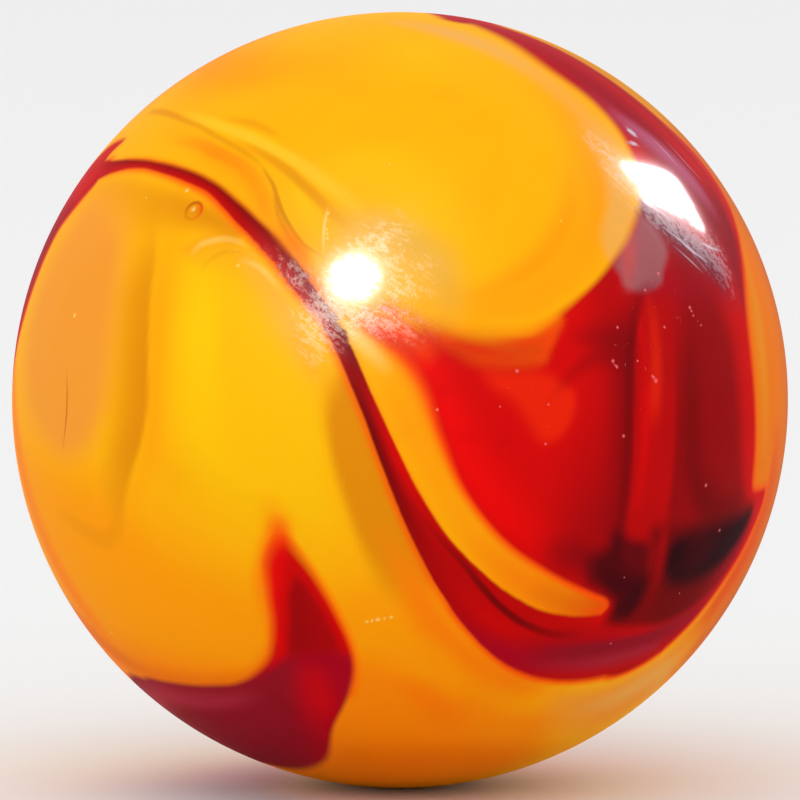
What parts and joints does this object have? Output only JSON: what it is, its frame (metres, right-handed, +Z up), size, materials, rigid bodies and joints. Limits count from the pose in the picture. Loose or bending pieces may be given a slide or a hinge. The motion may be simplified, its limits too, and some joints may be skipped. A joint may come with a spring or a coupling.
{
  "type": "glass marble",
  "caption": "Solid glass playing marble: one plain ball of opaque amber glass with a swirl of dark red glass fused into it.",
  "frame": {"origin": "centre of the ball", "axes": "+Z up through the top of the swirl as it is shown, -Y towards the side shown, +X to the right of it; the solid is the same about every axis"},
  "size_m": [0.016, 0.016, 0.016],
  "materials": {
    "swirl_glass": "polished opaque amber glass with a dark red swirl, clear gloss and fine play scratches"
  },
  "bodies": {
    "root": {"marble": "swirl_glass"}
  },
  "joints": []
}
